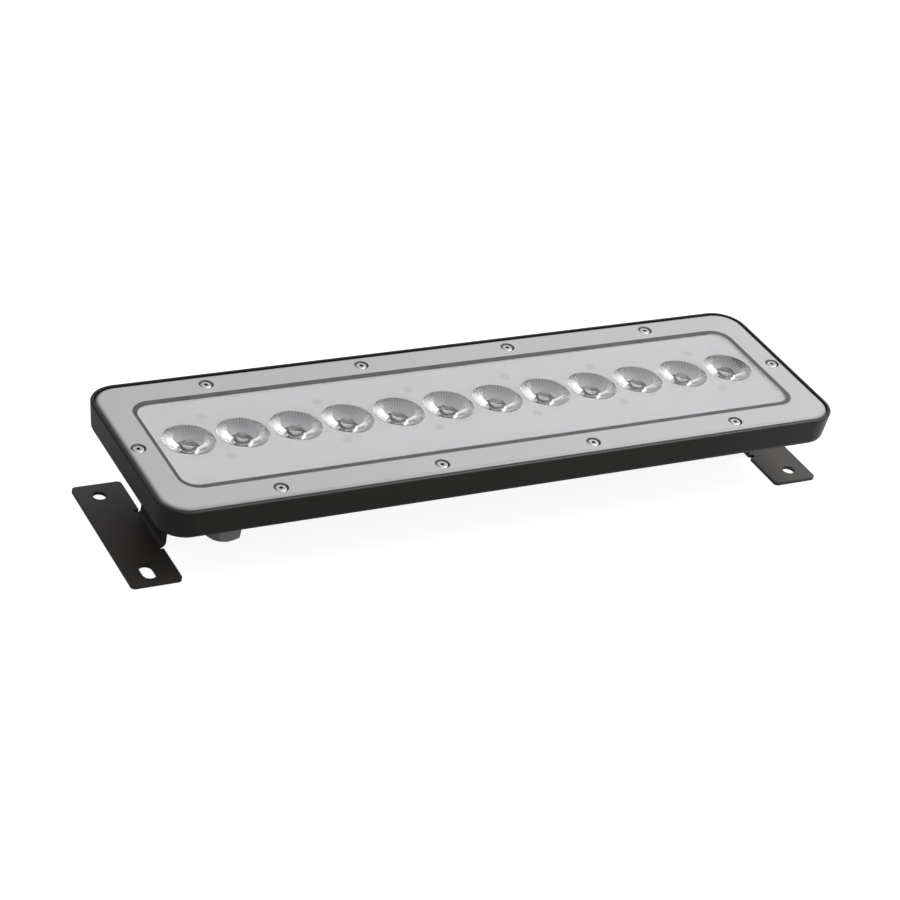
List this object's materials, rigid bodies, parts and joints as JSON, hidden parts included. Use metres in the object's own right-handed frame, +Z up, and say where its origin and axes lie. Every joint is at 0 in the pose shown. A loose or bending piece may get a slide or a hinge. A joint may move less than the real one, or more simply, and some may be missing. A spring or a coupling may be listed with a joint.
{
  "type": "outdoor wall washer light",
  "caption": "Slim outdoor light bar: black cast tray, grey screwed cover frame, clear plate with a row of moulded lenses, cable gland, and two Z-shaped bracket feet.",
  "frame": {"origin": "middle of the plane the two feet stand on, under the middle of the body", "axes": "+X along the row of lenses, from the gland's end to the other; +Y across it, away from the gland; +Z up, the way the light shines"},
  "size_m": [0.516, 0.1468, 0.066],
  "materials": {
    "black_coating": "satin black powder coating on die-cast aluminium",
    "black_sheet": "satin black powder coating on bent sheet steel",
    "grey_cover": "satin light grey coating",
    "clear_plate": "clear moulded plastic, etched underneath between the lenses",
    "dark_rubber": "matt dark grey silicone",
    "stainless": "turned stainless steel",
    "zinc_steel": "bright zinc plate",
    "white_board": "white solder mask on aluminium, a black disc round each LED",
    "heat_pad": "soft grey heat-conducting sheet",
    "led_ceramic": "ceramic base with a clear dome over pale yellow phosphor",
    "chip_black": "moulded black package",
    "terminal_grey": "grey moulded terminal block",
    "gland_grey": "dark grey nylon",
    "black_rubber": "matt black rubber"
  },
  "bodies": {
    "root": {"housing": "black_coating", "cover_frame": "grey_cover", "lens_plate": "clear_plate", "window_seal": "dark_rubber", "tray_seal": "dark_rubber", "cover_screws_front": "stainless", "cover_screws_back": "stainless", "cover_screw_left": "stainless", "cover_screw_right": "stainless", "led_board": "white_board", "thermal_pad": "heat_pad", "led_packages": "led_ceramic", "regulator_chips": "chip_black", "terminal_block": "terminal_grey", "board_screws": "zinc_steel", "earth_screw": "stainless", "earth_washer": "stainless", "gland_body": "gland_grey", "gland_nut": "gland_grey", "gland_cable_seal": "black_rubber", "gland_gasket": "black_rubber", "bracket_left": "black_sheet", "bracket_right": "black_sheet", "bracket_screws_left": "zinc_steel", "bracket_screws_right": "zinc_steel", "bracket_washers_left": "zinc_steel", "bracket_washers_right": "zinc_steel", "spring_washers_left": "zinc_steel", "spring_washers_right": "zinc_steel"}
  },
  "joints": []
}
